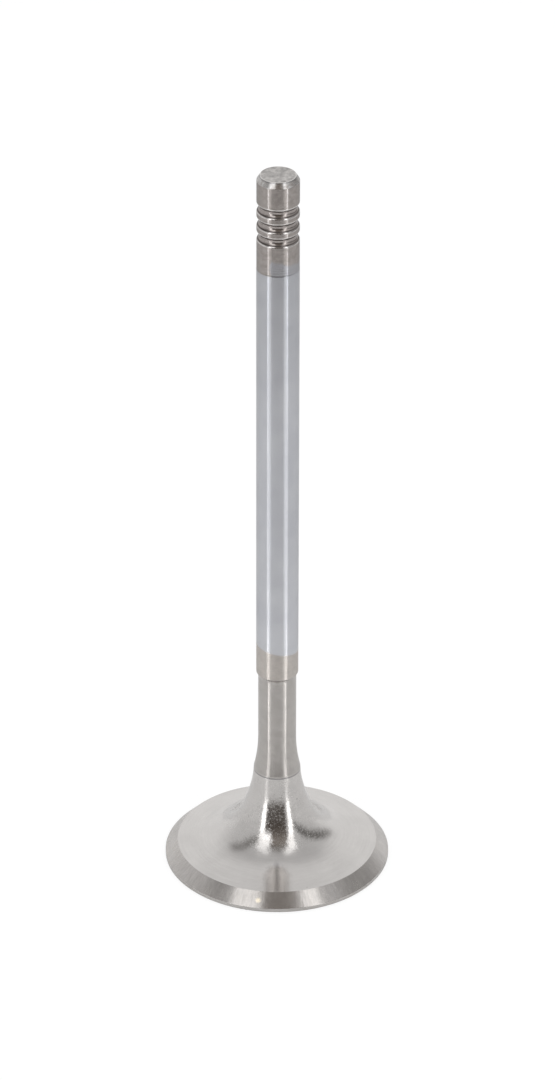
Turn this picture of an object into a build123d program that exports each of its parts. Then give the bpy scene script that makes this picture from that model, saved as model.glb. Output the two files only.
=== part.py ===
from build123d import *
import os
from math import cos, radians, sin, sqrt, tan

# An engine's poppet valve, forged in one piece and then turned, ground and plated. The axis is Z, the
# combustion face lies at Z = 0 and the tip points up. Lengths are in millimetres, angles in degrees.

overall_length = 127.6

# Head. The seat is the ground cone that closes the port, and the margin is the rim below it.
head_diameter = 37.4
margin_height = 0.75
rim_chamfer = 0.2
seat_height = 2.05
seat_angle = 45.0  # from the combustion face
back_angle = 12.0  # from the combustion face

# Neck, where the head's back sweeps up into the stem. Its flank starts at the edge that the
# grinding of the stem leaves, and its angles are from the axis.
ground_edge_height = 17.15
flank_start_angle = 2.0
flank_radius = 18.0
flank_angle = 20.0
neck_fillet_radius = 9.5
fillet_share = 0.95  # of the straight flank that the fillet may take up

# Undercut, which keeps the hot end of the stem clear of the guide, and its run-out to the neck
undercut_relief = 0.33
undercut_top_height = 35.75
shoulder_radius = 2.0
run_out_height = 23.2
run_out_rise = 0.73

# Stem. The plated length runs in the guide, and the bare end is smaller by the plating.
stem_diameter = 6.97
plating_thickness = 0.02
plating_bevel = 0.1

# Keeper grooves, round in section, and the plain land between them and the plating
groove_count = 3
groove_pitch = 2.51
groove_radius = 0.75
groove_depth = 0.47
groove_lip_radius = 0.4
tip_to_first_groove = 5.53
plain_land = 5.28

# Tip
tip_chamfer_height = 0.9
tip_chamfer_width = 0.56
tip_edge_radius = 0.12

# Radii, from the axis
head_radius = head_diameter / 2
stem_radius = stem_diameter / 2
bare_radius = stem_radius - plating_thickness
undercut_radius = stem_radius - undercut_relief
ground_edge_radius = undercut_radius + run_out_rise
groove_centre_radius = bare_radius - groove_depth + groove_radius

# Heights, from the combustion face
first_groove_height = overall_length - tip_to_first_groove
last_groove_height = first_groove_height - (groove_count - 1) * groove_pitch
groove_half_width = sqrt(groove_radius**2 - (groove_radius - groove_depth) ** 2)
plating_top_height = last_groove_height - groove_half_width - plain_land

# The shoulder's arc leaves the undercut smoothly and meets the stem at a sharp edge.
shoulder_height = sqrt(2 * shoulder_radius * undercut_relief - undercut_relief**2)

# Corners of the half section, as radius and height
seat_top = (head_radius - seat_height / tan(radians(seat_angle)), margin_height + seat_height)
ground_edge = (ground_edge_radius, ground_edge_height)
undercut_foot = (undercut_radius, run_out_height)
undercut_head = (undercut_radius, undercut_top_height - shoulder_height)
stem_foot = (stem_radius, undercut_top_height)
tip_corner = (bare_radius - tip_chamfer_width, overall_length)
flank_start_direction = (sin(radians(flank_start_angle)), -cos(radians(flank_start_angle)))

with BuildPart() as valve:
    with BuildSketch(Plane.XZ) as half_section:
        with BuildLine():
            # Combustion face, margin and seat
            Polyline(
                (0, overall_length),
                (0, 0),
                (head_radius - rim_chamfer, 0),
                (head_radius, rim_chamfer),
                (head_radius, margin_height),
                seat_top,
            )
            # The neck's flank, curved and then straight, as far as the cone of the head's back
            back_cone = PolarLine(seat_top, head_radius, 180 - back_angle, mode=Mode.PRIVATE)
            flank_curve = JernArc(
                ground_edge, flank_start_direction, flank_radius, flank_angle - flank_start_angle
            )
            flank = IntersectingLine(flank_curve @ 1, flank_curve % 1, back_cone)
            Line(flank @ 1, seat_top)
            # Undercut, between the run-out and the shoulder
            TangentArc(undercut_foot, ground_edge, tangent=(0, -1))
            Line(undercut_foot, undercut_head)
            TangentArc(undercut_head, stem_foot, tangent=(0, 1))
            # Plated stem, bare end and tip
            Polyline(
                stem_foot,
                (stem_radius, plating_top_height - plating_bevel),
                (bare_radius, plating_top_height),
                (bare_radius, overall_length - tip_chamfer_height),
                tip_corner,
                (0, overall_length),
            )
        make_face()

        # Keeper grooves, one circle each, with their lips rounded
        for groove in range(groove_count):
            with Locations((groove_centre_radius, first_groove_height - groove * groove_pitch)):
                Circle(groove_radius, mode=Mode.SUBTRACT)
        groove_lips = half_section.vertices().filter_by_position(
            Axis.Y, last_groove_height - groove_radius, first_groove_height + groove_radius
        )
        fillet(groove_lips, groove_lip_radius)

        # The neck fillet is as large as the straight flank lets it be.
        neck_turn = radians(90 - flank_angle - back_angle)
        longest_neck_fillet = flank.length / tan(neck_turn / 2)
        neck_corner = half_section.vertices().sort_by_distance(flank @ 1).first
        fillet(neck_corner, min(neck_fillet_radius, fillet_share * longest_neck_fillet))
        tip_edge = half_section.vertices().sort_by_distance(Vector(*tip_corner)).first
        fillet(tip_edge, tip_edge_radius)
    revolve(axis=Axis.Z)

valve.part.label = "valve"

os.makedirs("parts", exist_ok=True)
export_step(valve.part, "parts/valve.step")
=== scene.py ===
"""Engine valve: one forged and ground steel piece, standing on its head.

Lengths are written in millimetres and turned into metres where the mesh is made.
"""
from math import atan2, ceil, cos, hypot, pi, radians, sin, tan

import bmesh
import bpy
from mathutils import Matrix, Vector


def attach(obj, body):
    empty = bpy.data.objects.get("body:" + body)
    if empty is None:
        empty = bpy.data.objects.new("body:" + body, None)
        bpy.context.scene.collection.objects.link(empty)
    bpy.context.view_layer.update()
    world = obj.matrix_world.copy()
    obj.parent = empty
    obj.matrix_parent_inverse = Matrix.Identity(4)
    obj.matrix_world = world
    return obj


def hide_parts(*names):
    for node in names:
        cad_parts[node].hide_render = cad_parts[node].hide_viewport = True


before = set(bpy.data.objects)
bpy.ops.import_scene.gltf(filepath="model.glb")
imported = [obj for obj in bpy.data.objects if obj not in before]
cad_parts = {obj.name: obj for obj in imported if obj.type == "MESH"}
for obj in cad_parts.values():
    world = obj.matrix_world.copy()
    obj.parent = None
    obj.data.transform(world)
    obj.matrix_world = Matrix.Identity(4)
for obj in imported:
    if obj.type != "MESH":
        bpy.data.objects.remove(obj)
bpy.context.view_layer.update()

MM = 0.001

# ---------------------------------------------------------------------------
# The valve's section: radius and height, in millimetres
# ---------------------------------------------------------------------------

OVERALL = 127.6
STEM_RADIUS = 3.485
BARE_RADIUS = 3.465
UNDERCUT_RADIUS = 3.155

FACE_RADIUS = 18.5
HEAD_RADIUS = 18.7
CHAMFER_TOP = 0.2
MARGIN_TOP = 0.75
SEAT_TOP = (16.65, 2.80)
NECK_CORNER = (7.460, 4.754)
NECK_ROUNDING = 9.5
FLANK_CORNER = (3.985, 14.301)
FLANK_ROUNDING = 18.0
GROUND_EDGE = (3.885, 17.15)
RUN_OUT_CORNER = (UNDERCUT_RADIUS, 20.131)
RUN_OUT_ROUNDING = 25.4
SHOULDER_CORNER = (UNDERCUT_RADIUS, 35.15)
SHOULDER_ROUNDING = 2.0
STEM_FOOT = (STEM_RADIUS, 35.75)
PLATE_TOP = (STEM_RADIUS, 110.972)
BARE_FOOT = (BARE_RADIUS, 111.072)

FIRST_GROOVE = 117.05
GROOVE_PITCH = 2.51
GROOVE_HEIGHTS = tuple(FIRST_GROOVE + GROOVE_PITCH * i for i in range(3))
GROOVE_ROUND = 0.75
LIP_ROUND = 0.40
LIP_TURN = 53.75
LIP_CENTRE_RADIUS = BARE_RADIUS - LIP_ROUND
LIP_REACH = (GROOVE_ROUND + LIP_ROUND) * sin(radians(LIP_TURN))
GROOVE_CENTRE_RADIUS = LIP_CENTRE_RADIUS + (GROOVE_ROUND + LIP_ROUND) * cos(radians(LIP_TURN))

TIP_FOOT = (BARE_RADIUS, 126.7)
TIP_CORNER = (2.905, OVERALL)
TIP_FACE_RADIUS = 2.835

FINISHES = (
    "combustion_face",
    "rim",
    "seat",
    "turned_back",
    "undercut",
    "stem",
    "bare_end",
    "groove",
    "groove_lip",
    "tip_chamfer",
    "tip_edge",
    "tip_face",
)

# A corner of the section, how far it is rounded, and the finish of what follows.
LOWER_CORNERS = (
    ((0.0, 0.0), 0.0, "combustion_face"),
    ((FACE_RADIUS, 0.0), 0.05, "rim"),
    ((HEAD_RADIUS, CHAMFER_TOP), 0.05, "rim"),
    ((HEAD_RADIUS, MARGIN_TOP), 0.04, "seat"),
    (SEAT_TOP, 0.06, "turned_back"),
    (NECK_CORNER, NECK_ROUNDING, "turned_back"),
    (FLANK_CORNER, FLANK_ROUNDING, "turned_back"),
    (GROUND_EDGE, 0.03, "undercut"),
    (RUN_OUT_CORNER, RUN_OUT_ROUNDING, "undercut"),
    (SHOULDER_CORNER, SHOULDER_ROUNDING, "undercut"),
    (STEM_FOOT, 0.05, "stem"),
    (PLATE_TOP, 0.02, "bare_end"),
    (BARE_FOOT, 0.02, "bare_end"),
    ((BARE_RADIUS, GROOVE_HEIGHTS[0] - LIP_REACH), 0.0, "bare_end"),
)
UPPER_CORNERS = (
    ((BARE_RADIUS, GROOVE_HEIGHTS[-1] + LIP_REACH), 0.0, "bare_end"),
    (TIP_FOOT, 0.1, "tip_chamfer"),
    (TIP_CORNER, 0.12, "tip_edge"),
    ((TIP_FACE_RADIUS, OVERALL), 0.0, "tip_face"),
    ((0.0, OVERALL), 0.0, "tip_face"),
)

# How finely the section is divided: faces round the axis, degrees to a step of an arc, the
# longest step of a straight run, the strip kept flat beside an edge, and the smallest step.
AROUND = 256
TURN_STEP = 4.0
LIP_STEP = 9.0
GROOVE_STEP = 5.0
FEWEST_STEPS = 5
LONGEST_RUN = 3.0
EDGE_KEEP = 0.04
SMALLEST_STEP = 0.002


def arc(centre, radius, first, last, step=TURN_STEP):
    """Points round an arc of the section; nought degrees points away from the axis."""
    count = max(FEWEST_STEPS, ceil(abs(last - first) / step))
    points = []
    for i in range(count + 1):
        turn = radians(first + (last - first) * i / count)
        points.append((centre[0] + radius * cos(turn), centre[1] + radius * sin(turn)))
    return points


def rounding(before, corner, after, radius):
    """Points of the arc that takes the place of a corner."""
    corner = Vector(corner)
    into = (corner - Vector(before)).normalized()
    away = (Vector(after) - corner).normalized()
    turn = atan2(into.x * away.y - into.y * away.x, into.dot(away))
    side = 1.0 if turn > 0.0 else -1.0
    start = corner - into * radius * tan(abs(turn) / 2)
    centre = start + Vector((-into.y, into.x)) * radius * side
    first = atan2(start.y - centre.y, start.x - centre.x)
    return arc(centre, radius, first * 180 / pi, (first + turn) * 180 / pi)


def straight(start, end):
    """Points along a straight run; the two near its ends keep it flat in the light."""
    start = Vector(start)
    end = Vector(end)
    length = (end - start).length
    places = [0.0, length]
    if length > 6 * EDGE_KEEP:
        count = ceil(length / LONGEST_RUN)
        places += [EDGE_KEEP, length - EDGE_KEEP]
        places += [length * i / count for i in range(1, count)]
    return [tuple(start.lerp(end, place / length)) for place in sorted(places)]


def rounded_path(corners):
    """Runs of points, each with its finish, along a row of corners."""
    bends = []
    for i, (corner, radius, _) in enumerate(corners):
        if radius == 0.0:
            bends.append([corner])
        else:
            bends.append(rounding(corners[i - 1][0], corner, corners[i + 1][0], radius))
    runs = []
    for i, bend in enumerate(bends):
        finish = corners[i][2]
        if len(bend) > 1:
            runs.append((finish, bend))
        if i + 1 < len(bends):
            runs.append((finish, straight(bend[-1], bends[i + 1][0])))
    return runs


def groove_runs():
    """The three keeper grooves, each with its rounded lips, and the lands between them."""
    runs = []
    for number, height in enumerate(GROOVE_HEIGHTS):
        lower_lip = (LIP_CENTRE_RADIUS, height - LIP_REACH)
        upper_lip = (LIP_CENTRE_RADIUS, height + LIP_REACH)
        middle = (GROOVE_CENTRE_RADIUS, height)
        if number:
            land_foot = (BARE_RADIUS, GROOVE_HEIGHTS[number - 1] + LIP_REACH)
            runs.append(("bare_end", straight(land_foot, (BARE_RADIUS, height - LIP_REACH))))
        hollow = arc(middle, GROOVE_ROUND, 180 + LIP_TURN, 180 - LIP_TURN, GROOVE_STEP)
        runs.append(("groove_lip", arc(lower_lip, LIP_ROUND, 0.0, LIP_TURN, LIP_STEP)))
        runs.append(("groove", hollow))
        runs.append(("groove_lip", arc(upper_lip, LIP_ROUND, -LIP_TURN, 0.0, LIP_STEP)))
    return runs


def section():
    """The whole section as points, with the finish of the run that ends at each one."""
    runs = rounded_path(LOWER_CORNERS) + groove_runs() + rounded_path(UPPER_CORNERS)
    points = [runs[0][1][0]]
    finishes = []
    for finish, run in runs:
        for point in run:
            gap = hypot(point[0] - points[-1][0], point[1] - points[-1][1])
            if gap > SMALLEST_STEP:
                points.append(point)
                finishes.append(finish)
    points[0] = (0.0, points[0][1])
    points[-1] = (0.0, points[-1][1])
    return points, finishes


# ---------------------------------------------------------------------------
# The picture layout: head across the foot of the sheet, stem in four columns
# ---------------------------------------------------------------------------

# The head's share of the sheet, the columns, the stem's length in one, and the gap round each.
HEAD_SHARE = 0.34
COLUMNS = 4
LONGEST_COLUMN = 31.0
SHEET_GAP = 0.008


def sheet_rows(points):
    """For each run between two rings: its left and right edge and its foot and top."""
    rows = []
    length = 0.0
    head_length = None
    column = 0
    column_foot = 0.0
    steps = [hypot(b[0] - a[0], b[1] - a[1]) for a, b in zip(points, points[1:])]
    for i, step in enumerate(steps):
        if points[i][1] >= GROUND_EDGE[1] and head_length is None:
            head_length = length
            column_foot = length
        rows.append([length, length + step, column if head_length is not None else None])
        length += step
        if head_length is not None and length - column_foot > LONGEST_COLUMN:
            column += 1
            rows[-1][2] = column
            column_foot = length - step
    foots = {}
    for first, last, column in rows:
        foots.setdefault(column, first)
    head_scale = (HEAD_SHARE - SHEET_GAP * 2) / head_length
    stem_scale = (1.0 - HEAD_SHARE - SHEET_GAP * 2) / LONGEST_COLUMN
    layout = []
    for first, last, column in rows:
        if column is None:
            left, right = SHEET_GAP, 1.0 - SHEET_GAP
            foot = SHEET_GAP + (first - foots[None]) * head_scale
            top = SHEET_GAP + (last - foots[None]) * head_scale
        else:
            left = column / COLUMNS + SHEET_GAP
            right = (column + 1) / COLUMNS - SHEET_GAP
            foot = HEAD_SHARE + SHEET_GAP + (first - foots[column]) * stem_scale
            top = HEAD_SHARE + SHEET_GAP + (last - foots[column]) * stem_scale
        layout.append((left, right, foot, top))
    return layout


def object_of(work, name):
    """Makes an object of a mesh that is being worked on, and adds it to the scene."""
    mesh = bpy.data.meshes.new(name)
    work.to_mesh(mesh)
    work.free()
    made = bpy.data.objects.new(name, mesh)
    bpy.context.scene.collection.objects.link(made)
    return made


def turned_body(name):
    """Turns the section about the upright axis into one closed mesh."""
    points, finishes = section()
    layout = sheet_rows(points)
    work = bmesh.new()
    sheet = work.loops.layers.uv.new("OFBake")
    rings = []
    for radius, height in points:
        if radius == 0.0:
            rings.append([work.verts.new((0.0, 0.0, height * MM))])
            continue
        ring = []
        for i in range(AROUND):
            turn = 2 * pi * i / AROUND + pi / 2
            place = (radius * cos(turn) * MM, radius * sin(turn) * MM, height * MM)
            ring.append(work.verts.new(place))
        rings.append(ring)
    for level, (low, high) in enumerate(zip(rings, rings[1:])):
        left, right, foot, top = layout[level]
        for i in range(AROUND):
            j = (i + 1) % AROUND
            near = left + (right - left) * i / AROUND
            far = left + (right - left) * (i + 1) / AROUND
            if len(low) == 1:
                corners = (low[0], high[j], high[i])
                places = (((near + far) / 2, foot), (far, top), (near, top))
            elif len(high) == 1:
                corners = (low[i], low[j], high[0])
                places = ((near, foot), (far, foot), ((near + far) / 2, top))
            else:
                corners = (low[i], low[j], high[j], high[i])
                places = ((near, foot), (far, foot), (far, top), (near, top))
            face = work.faces.new(corners)
            face.smooth = True
            face.material_index = FINISHES.index(finishes[level])
            for loop, place in zip(face.loops, places):
                loop[sheet].uv = place
    bmesh.ops.recalc_face_normals(work, faces=work.faces)
    return object_of(work, name)


# ---------------------------------------------------------------------------
# Node helpers
# ---------------------------------------------------------------------------


def put(tree, kind, sockets=None, **settings):
    """Adds a node; a socket's value is another node's output or a plain value."""
    made = tree.nodes.new(kind)
    for name, value in settings.items():
        setattr(made, name, value)
    for name, value in (sockets or {}).items():
        if isinstance(value, bpy.types.NodeSocket):
            tree.links.new(value, made.inputs[name])
        else:
            made.inputs[name].default_value = value
    return made


def sum_of(tree, operation, first, second=0.0, third=0.0, clamp=False):
    """One step of arithmetic; gives its output."""
    values = {0: first, 1: second, 2: third}
    return put(tree, "ShaderNodeMath", values, operation=operation, use_clamp=clamp).outputs[0]


def spread(tree, value, low, high, to_low=0.0, to_high=1.0, smooth=True):
    """Stretches a value from one range to another."""
    kind = "SMOOTHSTEP" if smooth else "LINEAR"
    values = {"Value": value, "From Min": low, "From Max": high,
              "To Min": to_low, "To Max": to_high}
    return put(tree, "ShaderNodeMapRange", values, interpolation_type=kind).outputs["Result"]


def step_at(tree, value, middle, half, to_low=0.0, to_high=1.0):
    """Goes from one number to another as a length passes its middle one, in millimetres."""
    return spread(tree, value, (middle - half) * MM, (middle + half) * MM, to_low, to_high)


def off_by(tree, value, middle):
    """How far a value lies from a middle one, either way."""
    return sum_of(tree, "ABSOLUTE", sum_of(tree, "SUBTRACT", value, middle))


def split(tree, place):
    """The three measures of a place."""
    return put(tree, "ShaderNodeSeparateXYZ", {0: place}).outputs


def blend_colour(tree, share, first, second, kind="MIX"):
    """Mixes two colours."""
    values = {0: share, 6: first, 7: second}
    return put(tree, "ShaderNodeMix", values, data_type="RGBA", blend_type=kind).outputs[2]


def shaded(tree, colour, shade):
    """A colour made darker or lighter by a number."""
    tone = put(tree, "ShaderNodeCombineColor", {0: shade, 1: shade, 2: shade}).outputs[0]
    return blend_colour(tree, 1.0, colour, tone, "MULTIPLY")


def blend_value(tree, share, first, second):
    """Mixes two numbers."""
    return put(tree, "ShaderNodeMix", {0: share, 2: first, 3: second}, data_type="FLOAT").outputs[0]


def new_group(name, inputs, outputs):
    """A node group with named inputs and outputs: (name, kind, value)."""
    tree = bpy.data.node_groups.new(name, "ShaderNodeTree")
    for title, kind, value in inputs:
        socket = tree.interface.new_socket(title, in_out="INPUT", socket_type="NodeSocket" + kind)
        if value is not None:
            socket.default_value = value
    for title, kind in outputs:
        tree.interface.new_socket(title, in_out="OUTPUT", socket_type="NodeSocket" + kind)
    entry = tree.nodes.new("NodeGroupInput").outputs
    leave = tree.nodes.new("NodeGroupOutput").inputs
    return tree, entry, leave


# ---------------------------------------------------------------------------
# Effects that several finishes share
# ---------------------------------------------------------------------------

# The part of each noise's range that is stretched to the whole.
MARK_SPAN = (0.3, 0.7)
CLOUD_SPAN = (0.36, 0.64)

PIT_SPACING = 1.6
PIT_SIZE = 0.12


def make_tool_marks():
    """Fine marks that run round the axis, up its length or out across a face."""
    tree, entry, leave = new_group(
        "tool_marks",
        [("Place", "Vector", None), ("Across Face", "Float", 0.0), ("Marks per mm", "Float", 4.0),
         ("Break Up", "Float", 3.0), ("Seed", "Float", 0.0)],
        [("Marks", "Float")],
    )
    parts = split(tree, entry["Place"])
    square_x = sum_of(tree, "MULTIPLY", parts[0], parts[0])
    radius = sum_of(tree, "SQRT", sum_of(tree, "MULTIPLY_ADD", parts[1], parts[1], square_x))
    along = blend_value(tree, entry["Across Face"], parts[2], radius)
    count = sum_of(tree, "MULTIPLY", entry["Marks per mm"], 1.0 / MM)
    step = sum_of(tree, "MULTIPLY_ADD", along, count, entry["Seed"])
    turn_x = sum_of(tree, "MULTIPLY", sum_of(tree, "DIVIDE", parts[0], radius), entry["Break Up"])
    turn_y = sum_of(tree, "MULTIPLY", sum_of(tree, "DIVIDE", parts[1], radius), entry["Break Up"])
    place = put(tree, "ShaderNodeCombineXYZ", {0: turn_x, 1: turn_y, 2: step}).outputs[0]
    values = {"Vector": place, "Scale": 1.0, "Detail": 2.0, "Roughness": 0.6}
    noise = put(tree, "ShaderNodeTexNoise", values).outputs[0]
    tree.links.new(spread(tree, noise, *MARK_SPAN, smooth=False), leave["Marks"])
    return tree


def make_clouding():
    """Soft patches of uneven tone."""
    tree, entry, leave = new_group(
        "clouding",
        [("Place", "Vector", None), ("Patch mm", "Float", 3.0), ("Seed", "Float", 0.0)],
        [("Clouds", "Float")],
    )
    scale = sum_of(tree, "DIVIDE", 1.0 / MM, entry["Patch mm"])
    values = {"Vector": entry["Place"], "W": entry["Seed"], "Scale": scale, "Detail": 3.0,
              "Roughness": 0.6}
    noise = put(tree, "ShaderNodeTexNoise", values, noise_dimensions="4D").outputs[0]
    tree.links.new(spread(tree, noise, *CLOUD_SPAN, smooth=False), leave["Clouds"])
    return tree


def make_pitting():
    """Scattered small pits: a share of evenly spread cells holds one each."""
    tree, entry, leave = new_group(
        "pitting",
        [("Place", "Vector", None), ("Spacing mm", "Float", 2.0), ("Pit Size", "Float", 0.1),
         ("Share", "Float", 0.2), ("Seed", "Float", 0.0)],
        [("Pits", "Float")],
    )
    scale = sum_of(tree, "DIVIDE", 1.0 / MM, entry["Spacing mm"])
    values = {"Vector": entry["Place"], "W": entry["Seed"], "Scale": scale, "Randomness": 1.0}
    cells = put(tree, "ShaderNodeTexVoronoi", values, voronoi_dimensions="4D")
    lot = put(tree, "ShaderNodeSeparateColor", {0: cells.outputs["Color"]}).outputs[0]
    chosen = sum_of(tree, "LESS_THAN", lot, entry["Share"])
    size = sum_of(tree, "MULTIPLY", entry["Pit Size"], 0.5)
    away = cells.outputs["Distance"]
    near = spread(tree, away, size, entry["Pit Size"], 1.0, 0.0, smooth=False)
    tree.links.new(sum_of(tree, "MULTIPLY", chosen, near), leave["Pits"])
    return tree


def make_worked_steel(tool_marks, clouding, pitting):
    """Bare worked steel: two tones in clouds, tool marks and a few pits."""
    tree, entry, leave = new_group(
        "worked_steel",
        [("Place", "Vector", None), ("Colour", "Color", (0.5, 0.5, 0.5, 1.0)),
         ("Other Colour", "Color", (0.5, 0.5, 0.5, 1.0)), ("Patch mm", "Float", 3.0),
         ("Across Face", "Float", 0.0), ("Marks per mm", "Float", 4.0), ("Break Up", "Float", 3.0),
         ("Mark Shade", "Float", 0.1), ("Roughness", "Float", 0.3),
         ("Roughness Spread", "Float", 0.05), ("Pit Share", "Float", 0.05),
         ("Pit Shade", "Float", 0.5), ("Grain", "Float", 0.0), ("Grain mm", "Float", 0.4),
         ("Seed", "Float", 0.0)],
        [("Colour", "Color"), ("Roughness", "Float"), ("Height", "Float")],
    )
    place = entry["Place"]
    marks = put(tree, "ShaderNodeGroup", node_tree=tool_marks)
    for name in ("Place", "Across Face", "Marks per mm", "Break Up", "Seed"):
        tree.links.new(entry[name], marks.inputs[name])
    clouds = put(tree, "ShaderNodeGroup", node_tree=clouding)
    for name in ("Place", "Patch mm", "Seed"):
        tree.links.new(entry[name], clouds.inputs[name])
    values = {"Spacing mm": PIT_SPACING, "Pit Size": PIT_SIZE}
    pits = put(tree, "ShaderNodeGroup", values, node_tree=pitting)
    tree.links.new(place, pits.inputs["Place"])
    tree.links.new(entry["Pit Share"], pits.inputs["Share"])
    tree.links.new(entry["Seed"], pits.inputs["Seed"])
    tone = blend_colour(tree, clouds.outputs[0], entry["Colour"], entry["Other Colour"])
    lift = sum_of(tree, "SUBTRACT", marks.outputs[0], 0.5)
    shade = sum_of(tree, "MULTIPLY_ADD", lift, entry["Mark Shade"], 1.0)
    pit_shade = sum_of(tree, "MULTIPLY", pits.outputs[0], entry["Pit Shade"])
    shade = sum_of(tree, "MULTIPLY", shade, sum_of(tree, "SUBTRACT", 1.0, pit_shade))
    tree.links.new(shaded(tree, tone, shade), leave["Colour"])
    uneven = sum_of(tree, "SUBTRACT", clouds.outputs[0], 0.5)
    rough = sum_of(tree, "MULTIPLY_ADD", uneven, entry["Roughness Spread"], entry["Roughness"])
    tree.links.new(rough, leave["Roughness"])
    height = sum_of(tree, "SUBTRACT", marks.outputs[0], pits.outputs[0])
    scale = sum_of(tree, "DIVIDE", 1.0 / MM, entry["Grain mm"])
    values = {"Vector": place, "Scale": scale, "Detail": 2.0}
    grain = put(tree, "ShaderNodeTexNoise", values).outputs[0]
    height = sum_of(tree, "MULTIPLY_ADD", grain, entry["Grain"], height)
    tree.links.new(height, leave["Height"])
    return tree


# ---------------------------------------------------------------------------
# Finishes
# ---------------------------------------------------------------------------

WHITE = (1.0, 1.0, 1.0, 1.0)
STEEL = (0.600, 0.580, 0.565, 1.0)
STEEL_DULL = (0.565, 0.546, 0.532, 1.0)
GROUND_DULL = (0.520, 0.496, 0.476, 1.0)
SEAT_GREY = (0.526, 0.504, 0.488, 1.0)
UNDERCUT_PALE = (0.508, 0.484, 0.464, 1.0)
UNDERCUT_DULL = (0.466, 0.445, 0.426, 1.0)
GROOVE_BROWN = (0.410, 0.374, 0.358, 1.0)
GROOVE_DULL = (0.340, 0.308, 0.294, 1.0)
BROWN = (0.400, 0.368, 0.350, 1.0)
BROWN_DULL = (0.330, 0.302, 0.286, 1.0)
# Painted highlight: the groove lips are much paler than the bare steel they are cut in.
LIP_HIGHLIGHT = (0.700, 0.675, 0.660, 1.0)
LIP_HIGHLIGHT_DULL = (0.500, 0.475, 0.460, 1.0)
CUT_PALE = (0.620, 0.612, 0.605, 1.0)
CUT_DULL = (0.400, 0.374, 0.358, 1.0)
# The dark of the painted shade lines on the stem, the neck and the tip.
PAINTED_SHADE_DARK = (0.200, 0.195, 0.205, 1.0)
CREEP = (0.385, 0.385, 0.405, 1.0)
# The dark of the painted shade in the grooves.
GROOVE_SHADE = (0.120, 0.105, 0.098, 1.0)
TAN = (0.598, 0.560, 0.526, 1.0)
TAN_DULL = (0.550, 0.515, 0.484, 1.0)
PLATE = (0.574, 0.582, 0.610, 1.0)
PLATE_DULL = (0.534, 0.541, 0.576, 1.0)
TIP_PALE = (0.520, 0.500, 0.484, 1.0)
TIP_DULL = (0.310, 0.298, 0.290, 1.0)
TIP_WORN = (0.740, 0.720, 0.700, 1.0)

MARK_DEPTH = 0.0015 * MM
CROSSWISE = 0.25

# How each finish is worked: its two tones, the size of their patches, tool marks per
# millimetre, how soon the marks break off and how much they show, the roughness and how
# much it varies, and a seed.
VALUE_NAMES = ("Colour", "Other Colour", "Patch mm", "Marks per mm", "Break Up", "Mark Shade",
               "Roughness", "Roughness Spread", "Seed")
FINISH_ROWS = {
    "combustion_face": (STEEL, STEEL_DULL, 6.0, 3.0, 1.0, 0.10, 0.30, 0.06, 3.0),
    "rim": (STEEL_DULL, GROUND_DULL, 3.0, 9.0, 2.0, 0.06, 0.32, 0.06, 11.0),
    "seat": (SEAT_GREY, GROUND_DULL, 4.0, 0.8, 45.0, 0.15, 0.25, 0.05, 5.0),
    "turned_back": (STEEL, STEEL_DULL, 5.0, 3.5, 2.0, 0.05, 0.14, 0.03, 8.0),
    "undercut": (UNDERCUT_PALE, UNDERCUT_DULL, 0.9, 5.0, 2.0, 0.05, 0.25, 0.015, 21.0),
    "band": (TAN, TAN_DULL, 0.8, 5.0, 4.0, 0.08, 0.30, 0.04, 41.0),
    "stem": (PLATE, PLATE_DULL, 5.0, 5.0, 4.0, 0.04, 0.23, 0.03, 31.0),
    "bare_end": (BROWN, BROWN_DULL, 0.8, 6.0, 4.0, 0.08, 0.23, 0.04, 51.0),
    "groove": (GROOVE_BROWN, GROOVE_DULL, 0.6, 8.0, 2.0, 0.06, 0.21, 0.03, 57.0),
    "groove_lip": (LIP_HIGHLIGHT, LIP_HIGHLIGHT_DULL, 0.6, 8.0, 2.0, 0.06, 0.18, 0.04, 58.0),
    "tip_chamfer": (CUT_PALE, CUT_DULL, 0.7, 7.0, 2.0, 0.06, 0.25, 0.06, 60.0),
    "tip_edge": (TIP_WORN, STEEL_DULL, 0.7, 7.0, 2.0, 0.06, 0.20, 0.06, 63.0),
    "tip_face": (TIP_PALE, TIP_DULL, 0.8, 5.0, 2.0, 0.04, 0.36, 0.10, 61.0),
}
# What else a finish sets. Marks across the face are for surfaces that face up or down.
MORE_VALUES = {
    "combustion_face": {"Across Face": 1.0},
    "seat": {"Grain": 4.0, "Grain mm": 0.5, "Pit Share": 0.10},
    "turned_back": {"Across Face": 1.0, "Pit Share": 0.25, "Pit Shade": 0.6, "Grain mm": 0.6},
    "stem": {"Pit Share": 0.0},
    "tip_face": {"Across Face": 1.0},
}
FINISH_VALUES = {name: {**dict(zip(VALUE_NAMES, row)), **MORE_VALUES.get(name, {})}
                 for name, row in FINISH_ROWS.items()}

# How far each finish stretches its highlights across the tool marks.
STRETCH = {
    "combustion_face": 0.6,
    "rim": 0.6,
    "seat": 0.85,
    "turned_back": 0.70,
    "undercut": 0.99,
    "stem": 0.99,
    "bare_end": 0.97,
    "groove": 0.5,
    "groove_lip": 0.7,
    "tip_chamfer": 0.5,
    "tip_edge": 0.3,
    "tip_face": 0.3,
}

# How deep the marks are where they are finer than elsewhere.
FINE_MARKS = {
    "undercut": 0.35,
}

# Finishes that stay dull at a glancing angle.
DULL_EDGE = (0.72, 0.72, 0.72, 1.0)
EDGE_TINT = {
    "bare_end": DULL_EDGE,
    "groove": DULL_EDGE,
    "groove_lip": DULL_EDGE,
    "tip_chamfer": DULL_EDGE,
    "stem": (0.85, 0.85, 0.85, 1.0),
}

# Where the forged grain of the neck begins and is full, and how strong it is.
GRAIN_FOOT = 4.7
GRAIN_FULL = 6.0
GRAIN_MOST = 12.0
# The cut cone below the neck is a little rougher.
CUT_ROUGHNESS = 0.17
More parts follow.
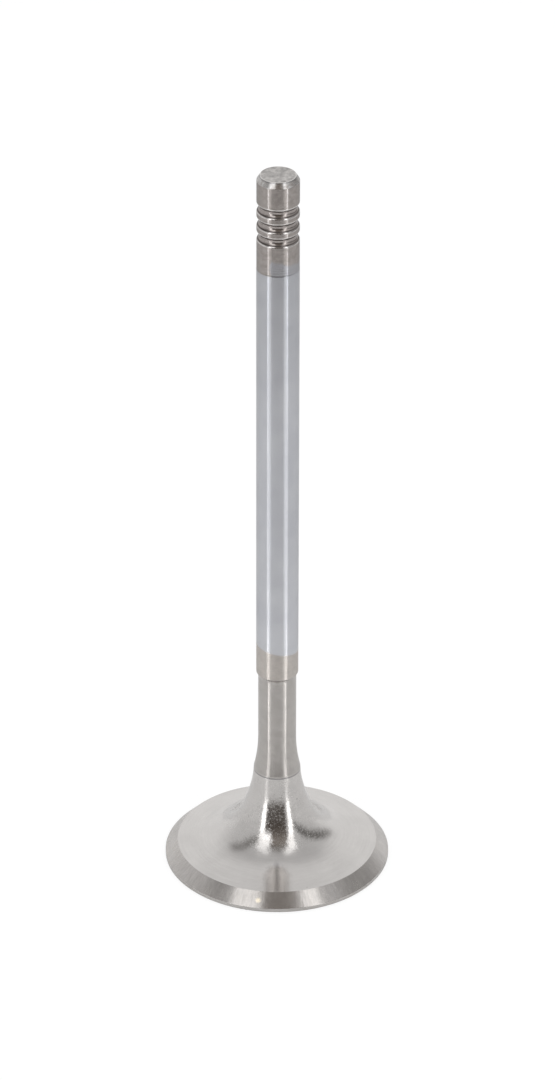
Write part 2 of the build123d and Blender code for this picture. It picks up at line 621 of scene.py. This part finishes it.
# The neck's skin is speckled light and dark: the specks' size, how much they change the
# tone and the roughness, and the parts of the noise's range that do so.
SPECKLE_MM = 0.26
SPECKLE = 0.08
DULL_SPECKS = 0.14
TONE_SPAN = (0.35, 0.65)
DULL_SPAN = (0.48, 0.66)
# The fine grinding of the undercut runs a little way down over the neck; a painted shade
# line darkens the edge where it stops.
GROUND_LINE = 16.80
GROUND_FADE = 0.04
GROUND_SHADE_HALF = 0.16
GROUND_SHADE_CORE = 0.4
GROUND_SHADE_STRENGTH = 0.70
# A painted warm glint on the seat: where it is, its half width, its core's share and its strength.
GLINT_PLACE = (-3.08, -17.45, 1.62)
GLINT_HALF = 0.66
GLINT_CORE = 0.1
GLINT_STRENGTH = 0.9
SEAT_GLINT = (1.000, 0.900, 0.720, 1.0)

# The painted shade line under the worn edge of the tip.
TIP_SHADE_FOOT = 127.32
TIP_SHADE_TOP = 127.46
TIP_SHADE_STRENGTH = 0.55

# A painted shade line on the lower side of each groove, measured from the groove's middle.
GROOVE_SHADE_FOOT = -0.68
GROOVE_SHADE_TOP = -0.50
GROOVE_SHADE_FADE = 0.06

# Where the thin plating on the bare end begins across the stem and where it stops, how far
# each edge fades, and how ragged they are.
CREEP_SIDE = -1.45
CREEP_SIDE_FADE = 0.5
CREEP_TOP = 113.4
CREEP_TOP_FADE = 0.35
CREEP_LEAN = 0.28
RAGGED_SCALE = 900.0
RAGGED_MM = 1.2
# Painted shade: thin dark lines round the foot of the bare end, above the plating's step: height
# and strength, the half width of the dark core and of the whole line, and how they weaken away
# from the middle of the stem.
EDGE_SHADE_LINES = ((111.14, 0.75), (111.62, 0.25), (112.05, 0.20))
EDGE_SHADE_CORE = 0.04
EDGE_SHADE_HALF = 0.12
EDGE_SHADE_SIDES = (1.0, 2.2)
EDGE_SHADE_LEAST = 0.35

# Where the plating ends above the shoulder, and how much lower that is per mm to one side.
PLATE_EDGE = 40.65
PLATE_FADE = 0.25
PLATE_LEAN = 0.19
# Painted shade and light on the plating: darker towards its top and a little lighter towards
# its foot, over these heights.
PLATE_TOP_SPAN = (80.0, 110.0)
PLATE_TOP_SHADE = 0.87
PLATE_FOOT_SPAN = (42.0, 60.0)
PLATE_FOOT_LIGHT = 1.05


def worked(tree, group, place, values):
    """Places the worked-steel group with a finish's own values."""
    return put(tree, "ShaderNodeGroup", {"Place": place, **values}, node_tree=group).outputs


def recoloured(made, colour):
    """The same finish in another colour."""
    return {"Colour": colour, "Roughness": made["Roughness"], "Height": made["Height"]}


def plated_over(tree, steel, place, plate):
    """The hard plating, which ends in a slightly leaning edge above the shoulder."""
    band = worked(tree, steel, place, FINISH_VALUES["band"])
    parts = split(tree, place)
    lean = sum_of(tree, "MULTIPLY_ADD", parts[0], PLATE_LEAN, parts[2])
    plated = step_at(tree, lean, PLATE_EDGE, PLATE_FADE)
    # Painted shade and light: the plating darker towards its top, lighter towards its foot.
    top = [height * MM for height in PLATE_TOP_SPAN]
    foot = [height * MM for height in PLATE_FOOT_SPAN]
    tone = sum_of(tree, "MULTIPLY", spread(tree, parts[2], *top, 1.0, PLATE_TOP_SHADE),
                  spread(tree, parts[2], *foot, PLATE_FOOT_LIGHT, 1.0))
    plating = shaded(tree, plate["Colour"], tone)
    colour = blend_colour(tree, plated, band["Colour"], plating)
    rough = blend_value(tree, plated, band["Roughness"], plate["Roughness"])
    height = blend_value(tree, plated, band["Height"], plate["Height"])
    return {"Colour": colour, "Roughness": rough, "Height": height}


def crept_over(tree, place, bare):
    """Thin plating that creeps up one side of the bare end, and painted shade lines round its foot.
    """
    parts = split(tree, place)
    values = {"Vector": place, "Scale": RAGGED_SCALE}
    ragged = put(tree, "ShaderNodeTexNoise", values).outputs[0]
    shift = sum_of(tree, "MULTIPLY", sum_of(tree, "SUBTRACT", ragged, 0.5), RAGGED_MM * MM)
    side = sum_of(tree, "ADD", parts[0], shift)
    side = spread(tree, side, CREEP_SIDE * MM, (CREEP_SIDE + CREEP_SIDE_FADE) * MM)
    lean = sum_of(tree, "MULTIPLY_ADD", parts[0], CREEP_LEAN, parts[2])
    lean = sum_of(tree, "ADD", lean, shift)
    below = step_at(tree, lean, CREEP_TOP, CREEP_TOP_FADE, 1.0, 0.0)
    creep = sum_of(tree, "MULTIPLY", side, below)
    colour = blend_colour(tree, creep, bare["Colour"], CREEP)
    # Painted shade: dark lines round the foot of the bare end, weaker towards the stem's sides.
    sides = [width * MM for width in EDGE_SHADE_SIDES]
    weaker = spread(tree, sum_of(tree, "ABSOLUTE", parts[0]), *sides, 1.0, EDGE_SHADE_LEAST)
    for line, strength in EDGE_SHADE_LINES:
        off = off_by(tree, parts[2], line * MM)
        near = spread(tree, off, EDGE_SHADE_CORE * MM, EDGE_SHADE_HALF * MM, strength, 0.0)
        colour = blend_colour(tree, sum_of(tree, "MULTIPLY", near, weaker), colour, PAINTED_SHADE_DARK)
    return recoloured(bare, colour)


def shaded_grooves(tree, place, groove):
    """Painted shade: a dark line on the lower side of each groove, where its hollow is shaded."""
    height = split(tree, place)[2]
    foot = (FIRST_GROOVE - GROOVE_PITCH / 2) * MM
    share = sum_of(tree, "DIVIDE", sum_of(tree, "SUBTRACT", height, foot), GROOVE_PITCH * MM)
    within = sum_of(tree, "SUBTRACT", sum_of(tree, "FRACT", share), 0.5)
    low = GROOVE_SHADE_FOOT / GROOVE_PITCH
    high = GROOVE_SHADE_TOP / GROOVE_PITCH
    fade = GROOVE_SHADE_FADE / GROOVE_PITCH
    rise = spread(tree, within, low - fade, low + fade)
    fall = spread(tree, within, high - fade, high + fade, 1.0, 0.0)
    hollow_shade = sum_of(tree, "MULTIPLY", rise, fall)
    return recoloured(groove, blend_colour(tree, hollow_shade, groove["Colour"], GROOVE_SHADE))


def forged_grain(tree, place):
    """How uneven the head's back is: the neck keeps its forged grain, the cone is cut smooth."""
    height = split(tree, place)[2]
    return spread(tree, height, GRAIN_FOOT * MM, GRAIN_FULL * MM, 0.0, GRAIN_MOST)


def forged_neck(tree, place, back):
    """The neck keeps a speckled, smoother skin above the rougher cut cone."""
    height = split(tree, place)[2]
    up = spread(tree, height, GRAIN_FOOT * MM, GRAIN_FULL * MM)
    values = {"Vector": place, "Scale": 1.0 / (SPECKLE_MM * MM), "Detail": 2.0}
    noise = put(tree, "ShaderNodeTexNoise", values).outputs[0]
    lift = spread(tree, noise, *TONE_SPAN, -0.5, 0.5, smooth=False)
    speck = sum_of(tree, "MULTIPLY", lift, SPECKLE)
    dull = spread(tree, noise, *DULL_SPAN)
    dull = sum_of(tree, "MULTIPLY_ADD", dull, DULL_SPECKS, back["Roughness"])
    shade = sum_of(tree, "MULTIPLY_ADD", speck, up, 1.0)
    colour = shaded(tree, back["Colour"], shade)
    rough = blend_value(tree, up, CUT_ROUGHNESS, dull)
    ground = step_at(tree, height, GROUND_LINE, GROUND_FADE)
    colour = blend_colour(tree, ground, colour, UNDERCUT_PALE)
    rough = blend_value(tree, ground, rough, FINISH_VALUES["undercut"]["Roughness"])
    # Painted shade: a thin dark line along the ground edge.
    off = off_by(tree, height, GROUND_LINE * MM)
    core = GROUND_SHADE_HALF * GROUND_SHADE_CORE * MM
    line = spread(tree, off, core, GROUND_SHADE_HALF * MM, GROUND_SHADE_STRENGTH, 0.0)
    colour = blend_colour(tree, line, colour, PAINTED_SHADE_DARK)
    return {"Colour": colour, "Roughness": rough, "Height": back["Height"]}


def glinting_seat(tree, place, seat):
    """One small painted warm glint on the seat."""
    values = {0: place, 1: [value * MM for value in GLINT_PLACE]}
    gap = put(tree, "ShaderNodeVectorMath", values, operation="DISTANCE").outputs["Value"]
    core = GLINT_HALF * GLINT_CORE * MM
    glint = spread(tree, gap, core, GLINT_HALF * MM, GLINT_STRENGTH, 0.0)
    return recoloured(seat, blend_colour(tree, glint, seat["Colour"], SEAT_GLINT))


def tip_edge_shade(tree, place, cut):
    """A thin painted shade line under the worn edge of the tip."""
    height = split(tree, place)[2]
    near = spread(tree, height, TIP_SHADE_FOOT * MM, TIP_SHADE_TOP * MM, 0.0, TIP_SHADE_STRENGTH)
    return recoloured(cut, blend_colour(tree, near, cut["Colour"], PAINTED_SHADE_DARK))


# What is added to a finish besides its own marks.
DETAILS = {
    "seat": glinting_seat,
    "turned_back": forged_neck,
    "bare_end": crept_over,
    "groove": shaded_grooves,
    "groove_lip": shaded_grooves,
    "tip_chamfer": tip_edge_shade,
}


def finish_material(name, steel):
    """One worked finish: a metal whose tone, roughness and marks vary."""
    material = bpy.data.materials.new(name)
    material.use_nodes = True
    tree = material.node_tree
    shader = tree.nodes["Principled BSDF"]
    shader.inputs["Metallic"].default_value = 1.0
    shader.inputs["Anisotropic"].default_value = STRETCH[name]
    shader.inputs["Specular Tint"].default_value = EDGE_TINT.get(name, WHITE)
    shader.inputs["Anisotropic Rotation"].default_value = CROSSWISE
    round_axis = put(tree, "ShaderNodeTangent", direction_type="RADIAL", axis="Z")
    tree.links.new(round_axis.outputs[0], shader.inputs["Tangent"])
    place = put(tree, "ShaderNodeTexCoord").outputs["Object"]
    values = dict(FINISH_VALUES[name])
    if name == "turned_back":
        values["Grain"] = forged_grain(tree, place)
    made = worked(tree, steel, place, values)
    if name == "stem":
        made = plated_over(tree, steel, place, made)
    if name in DETAILS:
        made = DETAILS[name](tree, place, made)
    tree.links.new(made["Colour"], shader.inputs["Base Color"])
    tree.links.new(made["Roughness"], shader.inputs["Roughness"])
    depth = MARK_DEPTH * FINE_MARKS.get(name, 1.0)
    values = {"Height": made["Height"], "Distance": depth, "Strength": 1.0}
    bump = put(tree, "ShaderNodeBump", values).outputs[0]
    tree.links.new(bump, shader.inputs["Normal"])
    return material


def dress(body):
    """Gives the body its finishes, in the order of FINISHES."""
    steel = make_worked_steel(make_tool_marks(), make_clouding(), make_pitting())
    for finish in FINISHES:
        body.data.materials.append(finish_material(finish, steel))


# ---------------------------------------------------------------------------
# Floor, studio and camera
# ---------------------------------------------------------------------------

FLOOR_RADIUS = 4.0
FLOOR_DROP = 0.05 * MM
FLOOR_HOLE = 18.3 * MM
FLOOR_SIDES = 96
FLOOR_GLOW = 0.78
FLOOR_LEVEL = 1.095
FLOOR_COLOUR = (0.85, 0.85, 0.85, 1.0)
FLOOR_IN_METAL = (0.92, 0.92, 0.92, 1.0)
# Over this range behind the valve, in metres, the floor glows in the metal too.
FLOOR_FAR_SPAN = (0.20, 1.20)

# How bright the room reads in the metal: near the camera, far from it, near the camera at
# the horizon, and overhead.
ROOM_NEAR = 0.74
ROOM_FAR = 1.0
ROOM_HORIZON = 0.82
ROOM_CEILING = 0.87
# Where each takes over, as the way's share away from the camera or upwards.
AWAY_SPAN = (0.35, 1.0)
OVERHEAD_SPAN = (0.58, 0.84)
LEVEL_SPAN = (0.0, 0.18)
LEAST_RUN = 0.001

# The strip lamps: azimuth, distance and height of each end, width and brightness.
STRIP_FOOT = (50, 0.8, 0.01)
STRIP_HEAD = (35, 0.5, 0.72)
STRIP_WIDTH = 0.16
STRIP_BRIGHTNESS = 2.4

# How finely a card is divided: across it and from one row to the next.
CARD_COLUMNS = 24
CARD_STEPS = 8
# Over these ranges of glancing, a sheen on the table fades.
WIDE_GLANCE = (0.58, 0.67)
CLOSE_GLANCE = (0.50, 0.58)
# Between the first and the second turn of a ray at metal.
SECOND_TURN = 1.5
# The height of a sheen above the table, and the height round which side cards are set out.
TABLE = 0.0001
HEAD_LEVEL = 0.009

CAMERA_PLACE = (0.0, -0.91918, 0.59697)
CAMERA_TILT = 59.736
CAMERA_ROLL = 0.11
CAMERA_LENS = 216.963


def make_camera():
    """The camera, looking down at the valve."""
    lens = bpy.data.cameras.new("camera")
    lens.lens = CAMERA_LENS
    lens.clip_start = 0.05
    camera = bpy.data.objects.new("camera", lens)
    bpy.context.scene.collection.objects.link(camera)
    tilt = Matrix.Rotation(radians(CAMERA_TILT), 4, "X")
    roll = Matrix.Rotation(radians(CAMERA_ROLL), 4, "Z")
    camera.matrix_world = Matrix.Translation(CAMERA_PLACE) @ tilt @ roll
    bpy.context.scene.camera = camera


def floor_material():
    """Pale floor: near white where it is seen, with the shadow kept; clear from below."""
    material = bpy.data.materials.new("pale_floor")
    material.use_nodes = True
    tree = material.node_tree
    tree.nodes.clear()
    path = put(tree, "ShaderNodeLightPath").outputs
    straight_seen = sum_of(tree, "MAXIMUM", path["Is Camera Ray"], path["Is Transmission Ray"])
    place = put(tree, "ShaderNodeTexCoord").outputs["Object"]
    parts = split(tree, place)
    mirrored = spread(tree, parts[1], *FLOOR_FAR_SPAN)
    mirrored = sum_of(tree, "MULTIPLY", mirrored, path["Is Glossy Ray"])
    share = sum_of(tree, "MULTIPLY", sum_of(tree, "MAXIMUM", straight_seen, mirrored), FLOOR_GLOW)
    tone = blend_colour(tree, path["Is Glossy Ray"], FLOOR_COLOUR, FLOOR_IN_METAL)
    matt = put(tree, "ShaderNodeBsdfDiffuse", {"Color": tone}).outputs[0]
    glow = put(tree, "ShaderNodeEmission", {"Color": WHITE, "Strength": FLOOR_LEVEL}).outputs[0]
    pale = put(tree, "ShaderNodeMixShader", {0: share, 1: matt, 2: glow}).outputs[0]
    clear = put(tree, "ShaderNodeBsdfTransparent").outputs[0]
    below = put(tree, "ShaderNodeNewGeometry").outputs["Backfacing"]
    both = put(tree, "ShaderNodeMixShader", {0: below, 1: pale, 2: clear}).outputs[0]
    put(tree, "ShaderNodeOutputMaterial", {"Surface": both})
    return material


def make_floor():
    """A round sheet just under the valve, open where the valve's head covers it."""
    work = bmesh.new()
    rings = []
    for radius in (FLOOR_HOLE, FLOOR_RADIUS):
        turns = [2 * pi * i / FLOOR_SIDES for i in range(FLOOR_SIDES)]
        rings.append([work.verts.new((radius * cos(t), radius * sin(t), 0.0)) for t in turns])
    inner, outer = rings
    for i in range(FLOOR_SIDES):
        j = (i + 1) % FLOOR_SIDES
        work.faces.new((inner[i], outer[i], outer[j], inner[j]))
    floor = object_of(work, "floor")
    floor.location.z = -FLOOR_DROP
    floor.data.materials.append(floor_material())


def make_world():
    """White surroundings where they are seen; in the metal they are a shade darker in front."""
    world = bpy.data.worlds.new("white_room")
    bpy.context.scene.world = world
    world.use_nodes = True
    tree = world.node_tree
    tree.nodes.clear()
    way = put(tree, "ShaderNodeTexCoord").outputs["Generated"]
    parts = split(tree, way)
    across = sum_of(tree, "MULTIPLY", parts[0], parts[0])
    level_run = sum_of(tree, "SQRT", sum_of(tree, "MULTIPLY_ADD", parts[1], parts[1], across))
    away = sum_of(tree, "DIVIDE", parts[1], sum_of(tree, "MAXIMUM", level_run, LEAST_RUN))
    room = spread(tree, away, *AWAY_SPAN, ROOM_NEAR, ROOM_FAR)
    ceiling = spread(tree, parts[2], *OVERHEAD_SPAN, 1.0, ROOM_CEILING)
    room = sum_of(tree, "MULTIPLY", room, ceiling)
    low = spread(tree, parts[2], *LEVEL_SPAN, 1.0, 0.0)
    horizon = spread(tree, away, *AWAY_SPAN, ROOM_HORIZON, ROOM_FAR)
    room = blend_value(tree, low, room, horizon)
    path = put(tree, "ShaderNodeLightPath").outputs
    seen = sum_of(tree, "MAXIMUM", path["Is Camera Ray"], path["Is Transmission Ray"])
    level = blend_value(tree, seen, room, 1.0)
    shown = put(tree, "ShaderNodeBackground", {"Color": WHITE, "Strength": level}).outputs[0]
    put(tree, "ShaderNodeOutputWorld", {"Surface": shown})


def place_at(azimuth, distance, height):
    """A point of the studio; azimuth nought is the camera's side."""
    turn = radians(azimuth)
    return Vector((distance * sin(turn), -distance * cos(turn), height))


def strip_lamp(name, foot, head, width, brightness):
    """A strip lamp from its foot to its head, facing the valve; it lights the floor."""
    rise = head - foot
    lamp = bpy.data.lights.new(name, "AREA")
    lamp.shape = "RECTANGLE"
    lamp.size = width
    lamp.size_y = rise.length
    lamp.energy = brightness * pi * width * rise.length
    strip = bpy.data.objects.new(name, lamp)
    strip.visible_glossy = False
    bpy.context.scene.collection.objects.link(strip)
    up = rise.normalized()
    middle = (foot + head) / 2
    back = (middle - up * middle.dot(up)).normalized()
    side = up.cross(back)
    facing = Matrix((side, up, back)).transposed().to_4x4()
    strip.matrix_world = Matrix.Translation(middle) @ facing


def card_material(name, tones, tone_span, solid, glance, inner):
    """A plain glow that changes tone with height and fades out towards the card's edges.

    solid tells how solid it is where it is seen squarely and nearly edge on; glance tells
    over which range of glancing it changes from one to the other. An inner card is seen only
    where the metal reflects metal.
    """
    material = bpy.data.materials.new(name)
    material.use_nodes = True
    tree = material.node_tree
    tree.nodes.clear()
    place = put(tree, "ShaderNodeTexCoord").outputs["Object"]
    height = split(tree, place)[2]
    tone = blend_colour(tree, spread(tree, height, *tone_span), *tones)
    glow = put(tree, "ShaderNodeEmission", {"Color": tone}).outputs[0]
    clear = put(tree, "ShaderNodeBsdfTransparent").outputs[0]
    body = put(tree, "ShaderNodeAttribute", attribute_name="body").outputs["Fac"]
    facing = put(tree, "ShaderNodeLayerWeight", {"Blend": 0.5}).outputs["Facing"]
    share = sum_of(tree, "MULTIPLY", body, spread(tree, facing, *glance, *solid))
    if inner:
        turns = put(tree, "ShaderNodeLightPath").outputs["Glossy Depth"]
        later = sum_of(tree, "GREATER_THAN", turns, SECOND_TURN)
        share = sum_of(tree, "MULTIPLY", share, later)
    shown = put(tree, "ShaderNodeMixShader", {0: share, 1: clear, 2: glow}).outputs[0]
    put(tree, "ShaderNodeOutputMaterial", {"Surface": shown})
    return material


def edge_points(edge):
    """Points along a card's edge, which bends round the valve from one corner to the next."""
    stops = []
    for first, last in zip(edge, edge[1:]):
        for j in range(CARD_STEPS):
            stops.append([a + (b - a) * j / CARD_STEPS for a, b in zip(first, last)])
    stops.append(edge[-1])
    return [(place_at(*corner), strength) for *corner, strength in stops]


def card(name, rows, tones, tone_span=(0.0, 1.0), soft=0.1, solid=(1.0, 1.0),
         glance=WIDE_GLANCE, inner=False):
    """A card round the valve, seen only in its reflections.

    Each row goes from one edge to the other: a corner (azimuth, distance, height), the other
    corner, and how solid the card is there; soft is the share of its width that fades.
    """
    work = bmesh.new()
    body = work.verts.layers.float.new("body")
    near = edge_points([(*first, strength) for first, _, strength in rows])
    far = edge_points([(*last, strength) for _, last, strength in rows])
    grid = []
    for (one, strength), (other, _) in zip(near, far):
        line = []
        for i in range(CARD_COLUMNS + 1):
            share = i / CARD_COLUMNS
            vertex = work.verts.new(one.lerp(other, share))
            vertex[body] = strength * min(1.0, min(share, 1 - share) / soft)
            line.append(vertex)
        grid.append(line)
    for a, b in zip(grid, grid[1:]):
        for i in range(CARD_COLUMNS):
            work.faces.new((a[i], a[i + 1], b[i + 1], b[i]))
    made = object_of(work, name)
    made.data.materials.append(card_material(name, tones, tone_span, solid, glance, inner))
    made.visible_camera = False
    made.visible_diffuse = False
    made.visible_shadow = False
    made.visible_transmission = False


def upright(first, last, distance, height, strength=1.0):
    """A level row of a card, between two azimuths."""
    return ((first, distance, height), (last, distance, height), strength)


def across(azimuth, distance, low, high, strength=1.0):
    """An upright row of a card, between two angles above the valve's head."""
    foot, top = [distance * tan(radians(angle)) + HEAD_LEVEL for angle in (low, high)]
    return ((azimuth, distance, foot), (azimuth, distance, top), strength)


def grey(level, warmth=0.0):
    """A grey tone, a little warmer than plain if asked."""
    return (level * (1.0 + warmth), level, level * (1.0 - warmth), 1.0)


def even(level, warmth=0.0):
    """The same grey tone at a card's foot and top."""
    return (grey(level, warmth), grey(level, warmth))


def make_strips():
    """Two strip lamps and the cards that show them in the metal."""
    for side, name in ((-1, "left_lamp"), (1, "right_lamp")):
        foot, head = [place_at(end[0] * side, *end[1:]) for end in (STRIP_FOOT, STRIP_HEAD)]
        strip_lamp(name, foot, head, STRIP_WIDTH, STRIP_BRIGHTNESS)
    bright = (grey(2.8), grey(1.45))
    span = (0.10, 0.50)
    card("left_strip", (
        upright(-49, -36.5, 0.80, 0.0),
        upright(-49, -36, 0.62, 0.33),
        upright(-51, -35, 0.58, 0.40),
        upright(-54, -34, 0.52, 0.58),
        upright(-63, -33, 0.49, 0.665),
        upright(-64, -33, 0.485, 0.71),
        upright(-62, -31, 0.48, 0.79, 0.9),
        upright(-55, -27, 0.42, 0.88, 0.8),
        upright(-51, -27, 0.38, 1.02, 0.5),
        upright(-50, -28, 0.30, 1.12, 0.0),
    ), bright, span)
    card("left_blob", (
        upright(-43, -14, 0.565, 0.355, 0.0),
        upright(-43, -13, 0.56, 0.375),
        upright(-44, -12.5, 0.505, 0.58),
        upright(-42, -21, 0.475, 0.665),
        upright(-40, -25.5, 0.47, 0.70, 0.9),
        upright(-38, -27, 0.465, 0.76, 0.0),
    ), (grey(2.3), grey(1.6)), (0.35, 0.60), 0.15)
    card("right_strip", (
        upright(35.5, 47.5, 0.80, 0.0),
        upright(35.5, 47.5, 0.72, 0.20),
        upright(34, 48, 0.62, 0.35),
        upright(31, 50, 0.56, 0.56),
        upright(30, 61, 0.49, 0.66),
        upright(34, 61, 0.485, 0.71),
        upright(31, 59, 0.48, 0.79, 0.9),
        upright(25, 51, 0.42, 0.88, 0.8),
        upright(26, 51, 0.38, 1.02, 0.5),
        upright(27, 50, 0.30, 1.12, 0.0),
    ), (grey(2.8), grey(1.75)), span)


def make_table_sheen():
    """The sheen that the strips leave on the table, seen squarely and at a glance."""
    near = even(4.4)
    faint = even(1.12)
    squarely = (1.0, 0.0)
    glancing = (0.0, 1.0)
    card("left_near_sheen", (
        upright(-53.0, -46.0, 0.030, TABLE),
        upright(-56.0, -50.0, 0.045, TABLE),
        upright(-56.5, -50.5, 0.060, TABLE),
    ), near, solid=squarely, glance=CLOSE_GLANCE)
    card("left_sheen", (
        upright(-57.0, -51.0, 0.060, TABLE),
        upright(-58.0, -52.5, 0.10, TABLE),
        upright(-58.0, -52.5, 0.205, TABLE),
    ), even(2.1), solid=squarely)
    card("left_far_sheen", (
        upright(-58.0, -50.5, 0.205, TABLE),
        upright(-56.0, -48.5, 0.25, TABLE),
        upright(-54.0, -46.5, 0.80, TABLE),
    ), even(5.2, -0.05), solid=squarely)
    card("right_near_sheen", (
        upright(45.0, 52.5, 0.030, TABLE),
        upright(49.0, 55.5, 0.045, TABLE),
        upright(49.5, 56.0, 0.060, TABLE),
    ), near, solid=squarely, glance=CLOSE_GLANCE)
    card("right_sheen", (
        upright(50.0, 56.0, 0.060, TABLE),
        upright(50.5, 56.5, 0.205, TABLE),
    ), even(1.75), solid=squarely)
    card("right_far_sheen", (
        upright(48.0, 55.0, 0.205, TABLE),
        upright(46.0, 53.0, 0.25, TABLE),
        upright(45.5, 52.5, 0.80, TABLE),
    ), even(4.3, -0.05), solid=squarely)
    card("table_shade", (
        upright(-38.0, 36.0, 0.019, TABLE),
        upright(-38.0, 34.0, 0.36, TABLE),
    ), even(0.78), soft=0.08, solid=glancing, glance=CLOSE_GLANCE)
    card("left_glance", (
        upright(-53.0, -38.0, 0.020, TABLE * 2),
        upright(-53.5, -38.5, 0.10, TABLE * 2),
        upright(-54.5, -40.0, 0.80, TABLE * 2),
    ), faint, soft=0.3, solid=glancing, glance=CLOSE_GLANCE)
    card("right_glance", (
        upright(34.0, 49.0, 0.040, TABLE * 2),
        upright(31.5, 46.0, 0.09, TABLE * 2),
        upright(31.5, 46.5, 0.80, TABLE * 2),
    ), faint, soft=0.3, solid=glancing, glance=CLOSE_GLANCE)


def make_inner_cards():
    """The light that the stem passes on to the head's back, beside the dark card."""
    out = 0.30
    for name, first, last in (("left_inner", -140.0, -15.0), ("right_inner", 15.0, 140.0)):
        card(name, (
            upright(first, last, out, 0.20, 0.0),
            upright(first, last, out, 0.28),
            upright(first, last, out, 0.80),
            upright(first, last, out, 1.20, 0.0),
        ), even(1.75), soft=0.05, inner=True)


def make_dark_cards():
    """The dark card at the camera's side and two soft side cards."""
    joint = (0.330, 0.295, 0.265, 1.0)
    dark = ((0.080, 0.066, 0.056, 1.0), joint)
    crown = (joint, (0.165, 0.148, 0.133, 1.0))
    out = 0.36
    card("dark_card", (
        upright(-35, 30, out, 0.014),
        upright(-35, 30, out, 0.200),
        upright(-18, 31, out, 0.235),
        upright(-17, 29, out, 0.44),
    ), dark, (0.05, 0.42), 0.05)
    card("dark_crown", (
        upright(-17, 29, out, 0.44),
        upright(-24, 28, out, 0.52),
        upright(-21, 24, out, 0.60, 0.85),
        upright(-15, 17, out, 0.78, 0.6),
        upright(-10, 12, out, 1.10, 0.0),
    ), crown, (0.45, 0.53), 0.05)
    out = 0.28
    card("right_card", (
        across(46, out, 8, 18, 0.0),
        across(52, out, 7, 23, 1.0),
        across(62, out, 8, 33, 0.95),
        across(76, out, 11, 40, 0.95),
        across(92, out, 16, 40, 0.95),
        across(108, out, 15, 38, 0.95),
        across(122, out, 13, 34, 0.9),
        across(134, out, 10, 28, 0.7),
        across(144, out, 8, 22, 0.0),
    ), even(0.13, 0.05), soft=0.4)
    out = 0.42
    card("left_card", (
        across(-50, out, 32, 48, 0.0),
        across(-60, out, 30, 51, 0.85),
        across(-72, out, 30, 53, 0.85),
        across(-84, out, 33, 57, 0.85),
        across(-100, out, 36, 58, 0.8),
        across(-116, out, 35, 55, 0.8),
        across(-128, out, 34, 52, 0.0),
    ), even(0.21, 0.04), soft=0.4)


# ---------------------------------------------------------------------------
# The valve
# ---------------------------------------------------------------------------


def make_valve():
    """The valve body, in the place of its plain model."""
    body = turned_body("valve_body")
    dress(body)
    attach(body, "root")
    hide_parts("valve")


bpy.context.scene.view_settings.view_transform = "Standard"
make_camera()
make_valve()
make_floor()
make_world()
make_strips()
make_table_sheen()
make_inner_cards()
make_dark_cards()
